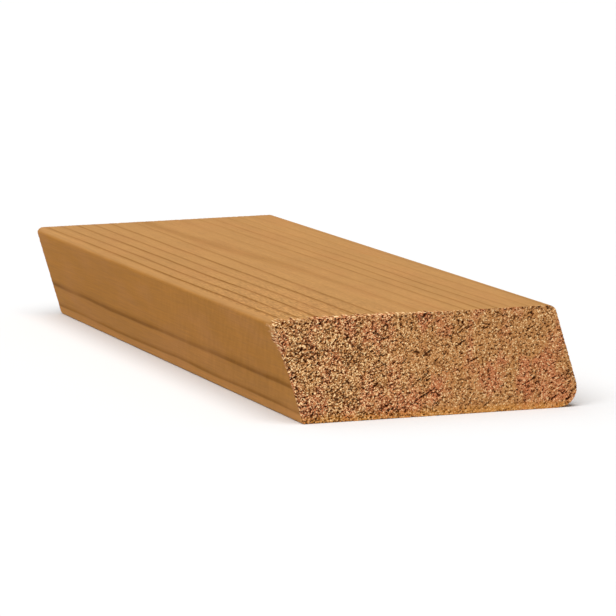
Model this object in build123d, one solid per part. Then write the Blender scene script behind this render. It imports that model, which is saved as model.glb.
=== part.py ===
from build123d import *
import math
import os

# Rhombus cladding board: one planed length of softwood with both edges cut on the same slant.
# It lies on its back face. X runs along the board, Y across its face and Z through its
# thickness. The origin is the middle of the board on the surface that it lies on.

# Driving dimensions, in millimetres and degrees
board_length = 200.0
board_width = 60.0          # across the face, over the two rounded sharp arrises
board_thickness = 20.0
edge_slant = 15.0           # how far both edges lean from square
upper_left_radius = 1.2     # sharp arris, where the left edge overhangs
upper_right_radius = 1.7    # blunt arris
lower_right_radius = 3.9    # sharp arris, where the right edge's foot stands out
lower_left_radius = 0.5     # blunt arris, only just broken

# The slant moves each edge sideways by this much from the back face to the front face
slant_offset = board_thickness * math.tan(math.radians(edge_slant))


def cut_back(radius):
    """How far the rounding of a sharp arris takes its tip back from the unrounded corner."""
    slant = math.radians(edge_slant)
    return radius * ((1 + math.sin(slant)) / math.cos(slant) - 1)


def rhombus_section():
    """The board's cross-section: a leaning parallelogram with its four arrises rounded."""
    left_tip = -board_width / 2 - cut_back(upper_left_radius)
    right_tip = board_width / 2 + cut_back(lower_right_radius)
    upper_left = (left_tip, board_thickness)
    upper_right = (right_tip - slant_offset, board_thickness)
    lower_right = (right_tip, 0)
    lower_left = (left_tip + slant_offset, 0)
    rounding = {
        upper_left: upper_left_radius,
        upper_right: upper_right_radius,
        lower_right: lower_right_radius,
        lower_left: lower_left_radius,
    }
    with BuildSketch(Plane.YZ) as section:
        with BuildLine():
            Polyline(upper_left, upper_right, lower_right, lower_left, close=True)
        make_face()
        for corner, radius in rounding.items():
            arris = section.vertices().sort_by_distance(corner)[0]
            fillet(arris, radius)
    return section.sketch


def rhombus_board():
    """The section run along the board, half its length each way, with square sawn ends."""
    return extrude(rhombus_section(), amount=board_length / 2, both=True)


os.makedirs("parts", exist_ok=True)
export_step(rhombus_board(), "parts/rhombus_board.step")
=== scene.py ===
import math

import bmesh
import bpy
from mathutils import Matrix, Vector


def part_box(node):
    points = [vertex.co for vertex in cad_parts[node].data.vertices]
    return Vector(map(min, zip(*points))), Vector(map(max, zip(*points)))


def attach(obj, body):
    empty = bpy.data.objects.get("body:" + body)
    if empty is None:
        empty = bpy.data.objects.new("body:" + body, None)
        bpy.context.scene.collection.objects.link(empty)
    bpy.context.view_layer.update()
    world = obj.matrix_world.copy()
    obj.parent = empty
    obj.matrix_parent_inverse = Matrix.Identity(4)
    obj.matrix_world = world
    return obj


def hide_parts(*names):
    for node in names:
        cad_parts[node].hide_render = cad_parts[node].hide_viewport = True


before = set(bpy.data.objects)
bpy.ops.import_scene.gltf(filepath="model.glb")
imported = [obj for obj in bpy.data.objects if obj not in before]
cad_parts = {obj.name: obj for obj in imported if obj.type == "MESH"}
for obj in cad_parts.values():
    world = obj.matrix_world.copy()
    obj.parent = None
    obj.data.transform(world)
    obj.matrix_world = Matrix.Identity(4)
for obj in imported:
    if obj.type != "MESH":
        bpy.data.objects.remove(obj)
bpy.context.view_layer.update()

# Camera
# A long lens about a metre from the board and a little above it, turned so that the near sawn
# end and the left slanted edge both show, and held a degree and a half off level.
eye = Vector((1.01383, -0.28258, 0.13325))
view_azimuth = math.radians(74.167)
view_down = math.radians(6.669)
view_roll = math.radians(1.531)
focal_length = 295.5
nearest_seen = 0.05
farthest_seen = 50

bpy.ops.object.camera_add()
camera = bpy.context.object
camera.name = "photo_camera"
camera.data.lens = focal_length
camera.data.clip_start = nearest_seen
camera.data.clip_end = farthest_seen
camera.matrix_world = (
    Matrix.Translation(eye)
    @ Matrix.Rotation(view_azimuth, 4, "Z")
    @ Matrix.Rotation(math.pi / 2 - view_down, 4, "X")
    @ Matrix.Rotation(-view_roll, 4, "Z")
)
bpy.context.scene.camera = camera

# Floor and light
# A white studio table that runs out past the picture, in an even white surround. The main soft
# light is overhead to the front, and a weak one behind throws a faint shadow towards the viewer.
table_size = 8
table_white = (0.765, 0.765, 0.765, 1)
table_roughness = 0.9
softboxes = (
    ("main_softbox", Vector((0.42, -0.25, 0.87)), 3.35),
    ("back_softbox", Vector((-0.5, -0.3, 0.8)), 0.75),
)
softbox_softness = math.radians(60)
surround_white = (1, 1, 1, 1)
surround_strength = 0.2

bpy.ops.object.select_all(action="DESELECT")
bpy.ops.mesh.primitive_plane_add(size=table_size)
table = bpy.context.object
table.name = "table"
table_paint = bpy.data.materials.new("white_table")
table_paint.use_nodes = True
table_shader = table_paint.node_tree.nodes["Principled BSDF"]
table_shader.inputs["Base Color"].default_value = table_white
table_shader.inputs["Roughness"].default_value = table_roughness
table_shader.inputs["Specular IOR Level"].default_value = 0.0
table.data.materials.append(table_paint)

for name, shines_from, strength in softboxes:
    bpy.ops.object.light_add(type="SUN", rotation=shines_from.to_track_quat("Z", "Y").to_euler())
    softbox = bpy.context.object
    softbox.name = name
    softbox.data.energy = strength
    softbox.data.angle = softbox_softness

surround = bpy.data.worlds.new("white_surround")
surround.use_nodes = True
surround.node_tree.nodes["Background"].inputs["Color"].default_value = surround_white
surround.node_tree.nodes["Background"].inputs["Strength"].default_value = surround_strength
bpy.context.scene.world = surround
bpy.context.scene.view_settings.view_transform = "Standard"

# The board's shape
# One length of softwood, planed to a rhombus section: both edges lean the same way, and each of
# the four arrises is rounded on its own radius. The ends are crosscut square by a coarse saw.
mm = 0.001
lowest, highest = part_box("rhombus_board")
half_length = highest.x
board_width = highest.y - lowest.y
board_thickness = highest.z - lowest.z
edge_slant = math.radians(15)
upper_left_radius = 1.2 * mm
upper_right_radius = 1.7 * mm
lower_right_radius = 3.9 * mm
lower_left_radius = 0.5 * mm

lean = board_thickness * math.tan(edge_slant)
tip_loss = (1 + math.sin(edge_slant)) / math.cos(edge_slant) - 1
left_tip = -board_width / 2 - tip_loss * upper_left_radius
right_tip = board_width / 2 + tip_loss * lower_right_radius


def pick(board, mode, test):
    """Selects the board's edges or faces that pass the test, and nothing else."""
    bpy.ops.mesh.select_all(action="DESELECT")
    bpy.ops.mesh.select_mode(type=mode)
    mesh = bmesh.from_edit_mesh(board.data)
    for part in mesh.edges if mode == "EDGE" else mesh.faces:
        part.select_set(test(part))
    mesh.select_flush_mode()
    bmesh.update_edit_mesh(board.data)


def middle(edge):
    """The point halfway along an edge."""
    return (edge.verts[0].co + edge.verts[1].co) / 2


def runs_along(edge):
    """True for an edge that runs along the board's length."""
    step = edge.verts[1].co - edge.verts[0].co
    return abs(step.x) > 0.99 * step.length


def faces_end(face):
    """True for a face of a sawn end."""
    return abs(face.normal.x) > 0.9


bpy.ops.object.select_all(action="DESELECT")
bpy.ops.mesh.primitive_cube_add(
    size=1,
    location=(0, (left_tip + right_tip) / 2, board_thickness / 2),
    scale=(2 * half_length, right_tip - left_tip - lean, board_thickness),
)
board = bpy.context.object
board.name = "planed_board"
bpy.ops.object.transform_apply(location=True, rotation=True, scale=True)

# The front face is slid one way and the back face the other, which slants both edges
bpy.ops.object.mode_set(mode="EDIT")
for side in (1, -1):
    pick(board, "FACE", lambda face: face.normal.z * side > 0.9)
    bpy.ops.transform.translate(value=(0, -side * lean / 2, 0))

# Each arris is rounded: where it runs, its radius, whether it is a sharp one, and its steps
arrises = (
    ((left_tip, board_thickness), upper_left_radius, True, 16),
    ((right_tip - lean, board_thickness), upper_right_radius, False, 12),
    ((right_tip, 0), lower_right_radius, True, 40),
    ((left_tip + lean, 0), lower_left_radius, False, 4),
)
for (across, up), radius, sharp, steps in arrises:
    corner = Vector((0, across, up))
    half_angle = (math.pi / 2 - edge_slant if sharp else math.pi / 2 + edge_slant) / 2
    pick(board, "EDGE", lambda edge: runs_along(edge) and (middle(edge) - corner).length < 0.1 * mm)
    bpy.ops.mesh.bevel(
        offset_type="OFFSET",
        offset=radius / math.tan(half_angle),
        segments=steps,
        profile=(1 - 1 / (2 * (1 + math.sin(half_angle)))) ** 2,
        affect="EDGES",
    )

# The ends come off, and the four flats are cut into strips of about a fifth of a millimetre.
# With half the steps of the arrises beside them, the counts make the two long sides of each
# end's outline alike, and the two short sides too. One cut makes at most a hundred strips, so
# each flat is quartered first. Any edge wider than the widest step belongs to a flat.
pick(board, "FACE", faces_end)
bpy.ops.mesh.delete(type="ONLY_FACE")
middle_height = board_thickness / 2
widest_step = 2 * mm
flats = (
    (lambda at: at.z > 0.99 * board_thickness, 308),
    (lambda at: at.z < 0.01 * board_thickness, 300),
    (lambda at: at.y < 0 and abs(at.z - middle_height) < 0.49 * board_thickness, 104),
    (lambda at: at.y > 0 and abs(at.z - middle_height) < 0.49 * board_thickness, 88),
)
for lies_on, strips in flats:
    for cuts in (3, strips // 4 - 1):
        pick(
            board,
            "EDGE",
            lambda edge: abs(middle(edge).x) > 0.99 * half_length
            and edge.calc_length() > widest_step
            and lies_on(middle(edge)),
        )
        bpy.ops.mesh.subdivide(number_cuts=cuts)

# The strips are cut across, evenly along the board and closer beside the sawn ends, most of
# all beside the near one, where the faces are torn
even_cuts = 14
cuts_from_near_end = (0.35, 0.9, 1.5, 2.2, 3.0, 4.0, 5.0, 6.5, 8.5)
cuts_from_far_end = (0.35, 0.9)
pick(board, "EDGE", runs_along)
bpy.ops.mesh.subdivide(number_cuts=even_cuts)
for side, insets in ((1, cuts_from_near_end), (-1, cuts_from_far_end)):
    for inset in insets:
        bpy.ops.mesh.select_all(action="SELECT")
        bpy.ops.mesh.bisect(plane_co=(side * (half_length - inset * mm), 0, 0), plane_no=(1, 0, 0))

# Each end is closed with a grid of small squares, fine enough to carry the saw's tears. Its
# lines are counted from the upper left arris, up the left side at one end and over the top at
# the other.
for side, grid_lines in ((1, 114), (-1, 322)):
    bpy.ops.mesh.select_all(action="DESELECT")
    bpy.ops.mesh.select_mode(type="VERT")
    mesh = bmesh.from_edit_mesh(board.data)
    rim = [v for v in mesh.verts if v.co.x * side > half_length - 0.01 * mm]
    for v in rim:
        v.select_set(True)
    mesh.select_flush_mode()
    corner = Vector((side * half_length, left_tip, board_thickness))
    start = min(rim, key=lambda v: (v.co - corner).length)
    mesh.select_history.clear()
    mesh.select_history.add(start)
    bmesh.update_edit_mesh(board.data)
    bpy.ops.mesh.fill_grid(span=grid_lines, offset=0, use_interp_simple=True)
bpy.ops.mesh.select_all(action="SELECT")
bpy.ops.mesh.normals_make_consistent(inside=False)
bpy.ops.object.mode_set(mode="OBJECT")

# Growth rings
# The board was cut beside the pith, which lies out past its left edge at mid height. So the
# rings run up and down through the section, and show as lines along the faces. The sizes of
# the timber's pattern are in millimetres, here and in the sections that follow.
pith_across = -42.9
pith_up = 12.4
# Radius at which each yearly ring ends, and how dark its late wood is
rings_out_from_pith = (
    (13.2, 0.7),
    (16.9, 1.0),
    (20.1, 0.85),
    (23.5, 1.0),
    (27.0, 0.7),
    (30.8, 0.85),
    (34.7, 0.6),
    (38.9, 0.08),
    (43.1, 0.12),
    (47.3, 0.3),
    (51.4, 0.45),
    (54.3, 0.58),
    (57.6, 0.55),
    (60.2, 0.35),
    (63.7, 0.3),
    (67.2, 0.35),
    (70.8, 0.3),
)
widest_radius = 80.0
most_rings = 20.0
darkness_at_pith = 0.7
darkness_at_bark = 0.3
# How dark the wood turns through one year, and how much of a year late its dark line ends
ripening = [(0, 0.2), (0.05, 0), (0.5, 0), (0.72, 0.1), (0.83, 0.5), (0.88, 1), (0.95, 1), (1, 0.2)]
lateness = 0.08
# How far a ring strays over long stretches and over short ones
slow_wander = 1.0
slow_wave_size = (60, 13, 13)
quick_wander = 0.3
quick_wave_size = (17, 4, 4)
# Swings of the rings at the far end: each grows from nothing at its first radius to its full
# amount at the second, and holds beyond that
swings = ((31.2, 35.5, -1.4), (36.5, 46, 2.3), (47, 54, -0.8))
swing_starts = 60
swing_ends = -90
patch_size = (26, 6, 6)
# The radius, half the width and the darkness of the one broad dark year, far end first
broad_radius = (38.4, 42.8)
broad_half_width = (3.2, 1.5)
broad_darkness = (0.26, 0.14)


def put(tree, kind, takes=(), **settings):
    """Adds a node, makes its settings and feeds its inputs, each by its name or number."""
    made = tree.nodes.new(kind)
    for key, value in settings.items():
        setattr(made, key, value)
    for key, value in dict(takes).items():
        if isinstance(value, bpy.types.NodeSocket):
            tree.links.new(value, made.inputs[key])
        else:
            made.inputs[key].default_value = value
    return made


def sums(tree, operation, *terms):
    """Arithmetic on one or more values."""
    return put(tree, "ShaderNodeMath", enumerate(terms), operation=operation).outputs[0]


def vector_sums(tree, operation, *terms):
    """Arithmetic on vectors. A dot product or a length comes out as a plain value."""
    made = put(tree, "ShaderNodeVectorMath", enumerate(terms), operation=operation)
    return made.outputs["Value" if operation in ("LENGTH", "DOT_PRODUCT") else "Vector"]


def scaled(tree, vector, amount):
    """A vector or colour times one value."""
    return put(tree, "ShaderNodeVectorMath", {0: vector, "Scale": amount}, operation="SCALE").outputs[0]


def between(tree, value, low, high, start=0.0, end=1.0, smooth=False):
    """Maps value from low..high to start..end and holds it there outside."""
    takes = {"Value": value, "From Min": low, "From Max": high, "To Min": start, "To Max": end}
    kind = "SMOOTHSTEP" if smooth else "LINEAR"
    return put(tree, "ShaderNodeMapRange", takes, interpolation_type=kind).outputs[0]


def in_lumps(tree, place, reach):
    """The place counted in lumps that are reach millimetres long, wide and high."""
    return vector_sums(tree, "MULTIPLY", place, tuple(1 / (size * mm) for size in reach))


def cloud(tree, place, reach, detail=2.0, roughness=0.5):
    """A noise around a half, whose lumps are reach millimetres long, wide and high."""
    stretched = in_lumps(tree, place, reach)
    takes = {"Vector": stretched, "Scale": 1.0, "Detail": detail, "Roughness": roughness}
    return put(tree, "ShaderNodeTexNoise", takes).outputs[0]


def curve(tree, value, points):
    """A line drawn through the points, each from 0 to 1 both ways."""
    made = put(tree, "ShaderNodeFloatCurve", {"Value": value})
    line = made.mapping.curves[0]
    for x, y in points[1:-1]:
        line.points.new(x, y)
    line.points[0].location = points[0]
    line.points[-1].location = points[-1]
    for point in line.points:
        point.handle_type = "VECTOR"
    made.mapping.update()
    return made.outputs[0]


def growth_rings(tree, place):
    """Adds the rings' nodes to a tree. Gives the late wood's darkness, the darkness of the one
    broad dark year, and the direction straight out from the pith."""
    axes = put(tree, "ShaderNodeSeparateXYZ", {0: place}).outputs
    along = sums(tree, "MULTIPLY", axes[0], 1 / mm)
    across = sums(tree, "MULTIPLY_ADD", axes[1], 1 / mm, -pith_across)
    up = sums(tree, "MULTIPLY_ADD", axes[2], 1 / mm, -pith_up)
    outward = put(tree, "ShaderNodeCombineXYZ", {0: 0.0, 1: across, 2: up}).outputs[0]
    slow_wave = cloud(tree, place, slow_wave_size, detail=1.0)
    quick_wave = cloud(tree, place, quick_wave_size, detail=1.0)
    wander = sums(tree, "MULTIPLY_ADD", slow_wave, slow_wander, -slow_wander / 2)
    quick = sums(tree, "MULTIPLY_ADD", quick_wave, quick_wander, -quick_wander / 2)
    wander = sums(tree, "ADD", wander, quick)
    radius = sums(tree, "ADD", vector_sums(tree, "LENGTH", outward), wander)

    # Towards the far end some years swing out and some in, by about a millimetre
    farness = between(tree, along, swing_starts, swing_ends)
    swing = 0.0
    for low, high, amount in swings:
        swing = sums(tree, "ADD", swing, between(tree, radius, low, high, 0, amount, smooth=True))
    swung = sums(tree, "MULTIPLY_ADD", swing, farness, radius)
    share = sums(tree, "DIVIDE", swung, widest_radius)

    # The years are counted out from the pith, and each darkens towards its end by its own depth
    counts = [(0, 0)]
    depths = [(0, darkness_at_pith)]
    for number, (ring_radius, darkness) in enumerate(rings_out_from_pith):
        counts.append((ring_radius / widest_radius, (number + 1) / most_rings))
        depths.append((ring_radius / widest_radius, darkness))
    counts.append((1, 1))
    depths.append((1, darkness_at_bark))
    years = sums(tree, "MULTIPLY", curve(tree, share, counts), most_rings)
    part_of_year = sums(tree, "FRACT", sums(tree, "SUBTRACT", years, lateness))
    late = curve(tree, part_of_year, ripening)
    late = sums(tree, "MULTIPLY", late, curve(tree, share, depths))
    patchy = between(tree, cloud(tree, place, patch_size), 0.3, 0.7, 0.72, 1.05)
    late = sums(tree, "MULTIPLY", late, patchy)

    # The broad year is wide, dark and close in at the far end, and faint at the near one
    broad_middle = between(tree, along, -90, 45, *broad_radius, smooth=True)
    broad_reach = between(tree, along, -10, 60, *broad_half_width, smooth=True)
    narrowing = between(tree, along, -90, -30, 0.7, 1.0, smooth=True)
    broad_reach = sums(tree, "MULTIPLY", broad_reach, narrowing)
    off = sums(tree, "ABSOLUTE", sums(tree, "SUBTRACT", radius, broad_middle))
    broad = between(tree, sums(tree, "DIVIDE", off, broad_reach), 0.1, 1, 1, 0, smooth=True)
    broad = sums(tree, "MULTIPLY", broad, between(tree, along, -10, 50, *broad_darkness))
    return late, broad, vector_sums(tree, "NORMALIZE", outward)


def sockets(group, way, names):
    """Gives a node group its named inputs or outputs."""
    for name, kind in names.items():
        group.interface.new_socket(name, in_out=way, socket_type="NodeSocket" + kind)


rings_group = bpy.data.node_groups.new("growth_rings", "ShaderNodeTree")
sockets(rings_group, "INPUT", {"Place": "Vector"})
sockets(rings_group, "OUTPUT", {"Late Wood": "Float", "Broad Year": "Float", "Outward": "Vector"})
way_in = put(rings_group, "NodeGroupInput").outputs
way_out = put(rings_group, "NodeGroupOutput").inputs
for number, socket in enumerate(growth_rings(rings_group, way_in["Place"])):
    rings_group.links.new(socket, way_out[number])

# Surface relief
# The plane leaves the late wood standing a few hundredths of a millimetre proud. The coarse saw
# tears fibres out of the ends, which leaves pits and a few long slanting tears, and it breaks
# fibres off the faces beside the near end, most of all by the upper left arris.
planing_depth = 0.03
late_wood_stands = 0.02
saw_wave = 0.06
saw_wave_size = (40, 9, 5)
grain_depth = 0.14
grain_size = (40, 0.52, 0.34)
pit_depth = 0.34
pit_crowd_size = (40, 6, 5)
tear_depth = 0.45
tear_size = (40, 3.0, 0.45)
tear_slope = math.radians(-32)
chip_depth = 0.1
chip_size = (3, 0.5, 0.5)
splinter_size = (60, 1.3, 1.3)
torn_reach = 9.0
clean_reach = 0.6


def sloped(tree, place):
    """The place turned so that its Y axis runs along the saw's tears."""
    takes = {"Vector": place, "Angle": tear_slope}
    return put(tree, "ShaderNodeVectorRotate", takes, rotation_type="X_AXIS").outputs[0]


def distance_from_end(tree, along):
    """Metres from a place to the flat of the nearer sawn end."""
    return sums(tree, "SUBTRACT", half_length, sums(tree, "ABSOLUTE", along))


def saw_cut(tree, place):
    """Depth in millimetres that the saw has torn below the end's flat."""
    turned = sloped(tree, place)
    across = put(tree, "ShaderNodeSeparateXYZ", {0: place}).outputs[1]
    wave = sums(tree, "MULTIPLY", cloud(tree, place, saw_wave_size), saw_wave)
    grain = cloud(tree, turned, grain_size, roughness=0.6)
    crowd = between(tree, cloud(tree, place, pit_crowd_size), 0.35, 0.65, -0.035, 0.035)
    crowd = sums(tree, "ADD", crowd, between(tree, across, -20 * mm, 14 * mm, 0.03, -0.02))
    pits = between(tree, sums(tree, "SUBTRACT", grain, crowd), 0.34, 0.45, 1, 0, smooth=True)
    tears = between(tree, cloud(tree, turned, tear_size, detail=1.0), 0.67, 0.75, smooth=True)
    depth = sums(tree, "MULTIPLY_ADD", between(tree, grain, 0.35, 0.65, 1, 0), grain_depth, wave)
    depth = sums(tree, "MULTIPLY_ADD", pits, pit_depth, depth)
    return sums(tree, "MULTIPLY_ADD", tears, tear_depth, depth)


def torn_edge(tree, place):
    """How far the faces are torn beside the sawn ends, from 1 at the end to 0 on clean wood."""
    along, across, up = put(tree, "ShaderNodeSeparateXYZ", {0: place}).outputs
    high = between(tree, up, 9 * mm, 18 * mm, smooth=True)
    left = between(tree, across, 10 * mm, -8 * mm, smooth=True)
    near = sums(tree, "GREATER_THAN", along, 0)
    worst = sums(tree, "MULTIPLY", sums(tree, "MULTIPLY", high, left), near)
    splinters = cloud(tree, place, splinter_size, detail=3.0, roughness=0.7)
    ragged = between(tree, splinters, 0.3, 0.7, 0.1, 1.0)
    reach = between(tree, worst, 0, 1, clean_reach, torn_reach)
    reach = sums(tree, "MULTIPLY", reach, ragged)
    from_end = sums(tree, "DIVIDE", distance_from_end(tree, along), mm)
    return between(tree, sums(tree, "DIVIDE", from_end, reach), 0.6, 1.0, 1, 0)


relief = bpy.data.node_groups.new("planing_and_sawing", "GeometryNodeTree")
sockets(relief, "INPUT", {"Geometry": "Geometry"})
sockets(relief, "OUTPUT", {"Geometry": "Geometry"})
here = put(relief, "GeometryNodeInputPosition").outputs[0]
here_along = put(relief, "ShaderNodeSeparateXYZ", {0: here}).outputs[0]
on_end = sums(relief, "LESS_THAN", distance_from_end(relief, here_along), 0.01 * mm)
inward = sums(relief, "MULTIPLY", sums(relief, "SIGN", here_along), -mm)
sawn = sums(relief, "MULTIPLY", sums(relief, "MULTIPLY", saw_cut(relief, here), on_end), inward)
late = growth_rings(relief, here)[0]
planed = sums(relief, "MULTIPLY_ADD", late, late_wood_stands, -planing_depth)
chips = between(relief, cloud(relief, here, chip_size), 0.4, 0.7, 0.1, 1.0)
chipped = sums(relief, "MULTIPLY", sums(relief, "MULTIPLY", chips, -chip_depth), torn_edge(relief, here))
facing = put(relief, "GeometryNodeInputNormal").outputs["Normal"]
lowered = sums(relief, "MULTIPLY", sums(relief, "ADD", planed, chipped), mm)
moved = scaled(relief, vector_sums(relief, "MULTIPLY", facing, (0, 1, 1)), lowered)
moved = vector_sums(relief, "ADD", moved, put(relief, "ShaderNodeCombineXYZ", {0: sawn}).outputs[0])
whole = put(relief, "NodeGroupInput").outputs[0]
set_back = put(relief, "GeometryNodeSetPosition", {"Geometry": whole, "Offset": moved}).outputs[0]
put(relief, "NodeGroupOutput", {0: set_back})

# Torn fibres
# Where the saw has torn the wood, lighter fibre ends stand up between dark pits. Their colours
# are partly the wood's own and partly painted light: painted highlights on the raised fibres and
# painted shade in the pits. Both finishes of the board use this, one for its ends and one for
# the broken edges beside them.
fibre_end_and_highlight = (1.0, 0.72, 0.38, 1)
torn_wood = (0.51, 0.232, 0.078, 1)
torn_wood_red = (0.57, 0.182, 0.080, 1)
pit_shade = (0.065, 0.010, 0.001, 1)
fibre_size = (2.4, 0.22, 0.17)
clump_size = (2.4, 0.5, 0.36)
bundle_size = (2.4, 0.3, 0.25)
bundle_share = 0.4
level_wood = 0.37
red_patch_size = (40, 4, 7)
red_patch_share = 0.7


def blend(tree, share, first, second):
    """Mixes two colours by share."""
    made = put(tree, "ShaderNodeMix", data_type="RGBA")
    for number, value in ((0, share), (6, first), (7, second)):
        if isinstance(value, bpy.types.NodeSocket):
            tree.links.new(value, made.inputs[number])
        else:
            made.inputs[number].default_value = value
    return made.outputs[2]


torn_group = bpy.data.node_groups.new("torn_fibres", "ShaderNodeTree")
sockets(torn_group, "INPUT", {"Place": "Vector", "Sloped Place": "Vector", "Contrast": "Float"})
sockets(torn_group, "OUTPUT", {"Color": "Color", "Height": "Float"})
way_in = put(torn_group, "NodeGroupInput").outputs
turned = way_in["Sloped Place"]

# Single fibres and clumps of them, with more of the single ones towards the left
fine = cloud(torn_group, turned, fibre_size, detail=1.0, roughness=0.6)
coarse = cloud(torn_group, turned, clump_size, detail=1.0, roughness=0.6)
across = put(torn_group, "ShaderNodeSeparateXYZ", {0: way_in["Place"]}).outputs[1]
fineness = between(torn_group, across, 16 * mm, -8 * mm, 0.5, 0.85)
specks = sums(torn_group, "SUBTRACT", fine, coarse)
specks = sums(torn_group, "MULTIPLY_ADD", specks, fineness, coarse)

# The fibres hold together in bundles, each with a tone of its own and painted shade in the gap round it
takes = {"Vector": in_lumps(torn_group, turned, bundle_size), "Scale": 1.0}
bundles = put(torn_group, "ShaderNodeTexVoronoi", takes).outputs
own_tone = vector_sums(torn_group, "DOT_PRODUCT", bundles["Color"], (1 / 3, 1 / 3, 1 / 3))
bundle_gap_shade = between(torn_group, bundles["Distance"], 0.1, 0.7, 0, 0.5)
own_tone = sums(torn_group, "SUBTRACT", own_tone, bundle_gap_shade)
off_tone = sums(torn_group, "SUBTRACT", own_tone, specks)
specks = sums(torn_group, "MULTIPLY_ADD", off_tone, bundle_share, specks)

rise = sums(torn_group, "MULTIPLY", sums(torn_group, "SUBTRACT", specks, level_wood), way_in["Contrast"])
red_patch = cloud(torn_group, way_in["Place"], red_patch_size)
red_patch = between(torn_group, red_patch, 0.46, 0.6, 0, red_patch_share)
wood = blend(torn_group, red_patch, torn_wood, torn_wood_red)
# Painted highlights on the highest fibres, then painted shade in the lowest places and pits
wood = blend(torn_group, between(torn_group, rise, 0.04, 0.38, smooth=True), wood, fibre_end_and_highlight)
wood = blend(torn_group, between(torn_group, rise, -0.07, -0.28, smooth=True), wood, pit_shade)
put(torn_group, "NodeGroupOutput", {"Color": wood, "Height": specks})

# Planed timber
# Bare softwood off the planer, honey tan with brown late wood lines. Where a face is cut along
# the rings rather than across them, as on the slanted edges, it is a deeper orange brown: partly
# the wood's own colour and partly painted shade, for the warmer look of those edges in shade.
early_wood = (0.446, 0.231, 0.080, 1)
# Deeper orange brown of the slanted edges, partly the wood's own and partly painted shade
early_wood_along_rings_and_shade = (0.406, 0.177, 0.035, 1)
early_wood_blush = (0.45, 0.205, 0.074, 1)
late_wood = (0.190, 0.070, 0.006, 1)
streak_size = (14, 0.3, 0.3)
fleck_size = (2.6, 0.26, 0.26)
mottle_size = (38, 9, 9)
chatter_size = (5, 6, 1.1)
chatter_slope = math.radians(38)
blush_size = (24, 7, 7)
broken_edge_contrast = 2.2
planed_gloss = 0.02
planed_bump = 0.35
planed_bump_depth = 0.04 * mm

planed_timber = bpy.data.materials.new("planed_softwood")
planed_timber.use_nodes = True
tree = planed_timber.node_tree
shader = tree.nodes["Principled BSDF"]
place = put(tree, "ShaderNodeTexCoord").outputs["Object"]
along, across, up = put(tree, "ShaderNodeSeparateXYZ", {0: place}).outputs
surface = put(tree, "ShaderNodeTexCoord").outputs["Normal"]
facing_up = put(tree, "ShaderNodeSeparateXYZ", {0: surface}).outputs[2]

# Early wood with its late wood lines, which fade towards the far end
rings = put(tree, "ShaderNodeGroup", {"Place": place}, node_tree=rings_group).outputs
facing_pith = sums(tree, "ABSOLUTE", vector_sums(tree, "DOT_PRODUCT", surface, rings["Outward"]))
along_rings = between(tree, facing_pith, 0.35, 0.95, smooth=True)
wood = blend(tree, along_rings, early_wood, early_wood_along_rings_and_shade)
line = sums(tree, "MULTIPLY", rings["Late Wood"], between(tree, along_rings, 0, 1, 0.85, 0.97))
far_share = between(tree, along_rings, 0, 1, 0.66, 0.84)
near_share = between(tree, along_rings, 0, 1, 1.08, 0.86)
line = sums(tree, "MULTIPLY", line, between(tree, along, -90 * mm, 60 * mm, far_share, near_share))
wood = blend(tree, line, wood, late_wood)
wood = blend(tree, rings["Broad Year"], wood, late_wood)

# Fine streaks along the grain, and flecks on the front face, most by its near left corner
fibre = cloud(tree, place, streak_size, detail=3.0, roughness=0.65)
streaks = between(tree, fibre, 0.25, 0.75, 0.88, 1.12)
on_front = between(tree, facing_up, 0.97, 0.995)
by_left_arris = between(tree, across, -2 * mm, -22 * mm)
rough_corner = sums(tree, "MULTIPLY", by_left_arris, between(tree, along, 0, 90 * mm))
fleck_depth = sums(tree, "MULTIPLY", on_front, between(tree, rough_corner, 0, 1, 0.05, 0.33))
flecks = between(tree, cloud(tree, place, fleck_size, detail=1.0), 0.3, 0.7, -1, 1)
flecks = sums(tree, "MULTIPLY_ADD", flecks, fleck_depth, 1)

# Slow mottling, and on the slanted edges the planer's faint slanting chatter. The very foot of
# the edges is brightened with painted light, for light thrown up from the table, and the arrises
# are darkened a little with painted shade, as they face the main light.
mottle = between(tree, cloud(tree, place, mottle_size), 0.3, 0.7, 0.96, 1.03)
takes = {"Vector": place, "Angle": chatter_slope}
chatter = put(tree, "ShaderNodeVectorRotate", takes, rotation_type="Y_AXIS").outputs[0]
chatter = between(tree, cloud(tree, chatter, chatter_size), 0.3, 0.7, -0.06, 0.06)
chatter = sums(tree, "MULTIPLY", chatter, between(tree, along, -20 * mm, 50 * mm, 0.2, 1.0))
# Painted light: the foot of the edges is brightened, standing in for light bounced off the table
painted_foot_light = between(tree, up, 0.5 * mm, 3.5 * mm, 1.28, 1.0)
chatter = sums(tree, "MULTIPLY_ADD", chatter, along_rings, painted_foot_light)
tone = sums(tree, "MULTIPLY", streaks, flecks)
tone = sums(tree, "MULTIPLY", tone, sums(tree, "MULTIPLY", mottle, chatter))
# Painted shade: the arrises, which face the main light, are darkened by up to five percent
off_arris = sums(tree, "ABSOLUTE", sums(tree, "SUBTRACT", facing_up, 0.75))
tone = sums(tree, "MULTIPLY", tone, between(tree, off_arris, 0.1, 0.25, 0.95, 1))
wood = scaled(tree, wood, tone)
blush = between(tree, cloud(tree, place, blush_size), 0.45, 0.7, 0, 0.3)
wood = blend(tree, blush, wood, scaled(tree, early_wood_blush[:3], tone))

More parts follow.
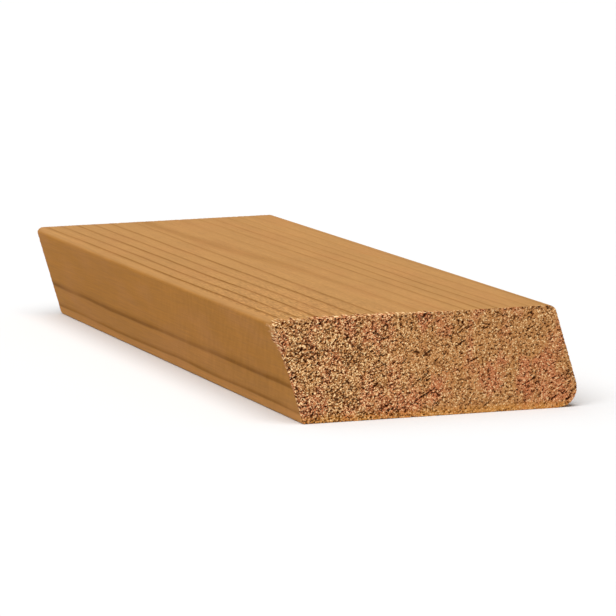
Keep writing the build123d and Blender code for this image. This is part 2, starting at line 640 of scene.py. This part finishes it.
# The broken edges beside the sawn ends
torn = put(tree, "ShaderNodeGroup", {"Place": place, "Sloped Place": place}, node_tree=torn_group)
torn.inputs["Contrast"].default_value = broken_edge_contrast
torn_share = torn_edge(tree, place)
wood = blend(tree, torn_share, wood, torn.outputs["Color"])
tree.links.new(wood, shader.inputs["Base Color"])
tree.links.new(between(tree, fibre, 0.2, 0.8, 0.62, 0.76), shader.inputs["Roughness"])
shader.inputs["Specular IOR Level"].default_value = planed_gloss
height = sums(tree, "MULTIPLY_ADD", rings["Late Wood"], 0.6, fibre)
torn_height = sums(tree, "MULTIPLY", torn.outputs["Height"], torn_share)
height = sums(tree, "MULTIPLY_ADD", torn_height, 4, height)
takes = {"Strength": planed_bump, "Distance": planed_bump_depth, "Height": height}
tree.links.new(put(tree, "ShaderNodeBump", takes).outputs[0], shader.inputs["Normal"])

# Sawn end grain
# The same timber cut across by a coarse saw, so it is torn fibre all over, with a faint trace of
# the rings. The deepest pits of the mesh are darkened with painted shade, and the very bottom
# edge is more golden.
golden_wood = (0.66, 0.29, 0.05, 1)
left_contrast = 2.2
right_contrast = 1.5
left_tone = 1.06
right_tone = 0.96
ring_trace = 0.15
sawn_roughness = 0.85
sawn_bump = 0.8
sawn_bump_depth = 0.25 * mm

sawn_timber = bpy.data.materials.new("sawn_softwood")
sawn_timber.use_nodes = True
tree = sawn_timber.node_tree
shader = tree.nodes["Principled BSDF"]
place = put(tree, "ShaderNodeTexCoord").outputs["Object"]
along, across, up = put(tree, "ShaderNodeSeparateXYZ", {0: place}).outputs
rings = put(tree, "ShaderNodeGroup", {"Place": place}, node_tree=rings_group).outputs
contrast = between(tree, across, -16 * mm, 2 * mm, left_contrast, right_contrast)
takes = {"Place": place, "Sloped Place": sloped(tree, place), "Contrast": contrast}
torn = put(tree, "ShaderNodeGroup", takes, node_tree=torn_group).outputs
depth = sums(tree, "DIVIDE", distance_from_end(tree, along), mm)
tone = between(tree, across, -14 * mm, 10 * mm, left_tone, right_tone)
wood = scaled(tree, torn["Color"], tone)
wood = blend(tree, between(tree, up, 0.6 * mm, 1.8 * mm, 0.45, 0), wood, golden_wood)
wood = blend(tree, sums(tree, "MULTIPLY", rings["Late Wood"], ring_trace), wood, late_wood)
# Painted shade: the deeper a pit lies below the end's flat, the darker it is painted
wood = blend(tree, between(tree, depth, 0.24, 0.5, 0, 0.92), wood, pit_shade)
tree.links.new(wood, shader.inputs["Base Color"])
shader.inputs["Roughness"].default_value = sawn_roughness
shader.inputs["Specular IOR Level"].default_value = 0.0
takes = {"Strength": sawn_bump, "Distance": sawn_bump_depth, "Height": torn["Height"]}
tree.links.new(put(tree, "ShaderNodeBump", takes).outputs[0], shader.inputs["Normal"])

# Finishing the board
# The ends get the sawn finish and all the rest the planed one. Then the relief is cut into the
# mesh, and the shading runs smoothly over the arrises but stays crisp at the ends.
smooth_up_to = math.radians(50)

board.data.materials.append(planed_timber)
board.data.materials.append(sawn_timber)
bpy.context.view_layer.objects.active = board
board.select_set(True)
bpy.ops.object.mode_set(mode="EDIT")
pick(board, "FACE", faces_end)
board.active_material_index = 1
bpy.ops.object.material_slot_assign()
bpy.ops.object.mode_set(mode="OBJECT")
carving = board.modifiers.new("planing_and_sawing", "NODES")
carving.node_group = relief
bpy.ops.object.modifier_apply(modifier=carving.name)
bpy.ops.object.shade_smooth_by_angle(angle=smooth_up_to)

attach(board, "root")
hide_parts("rhombus_board")
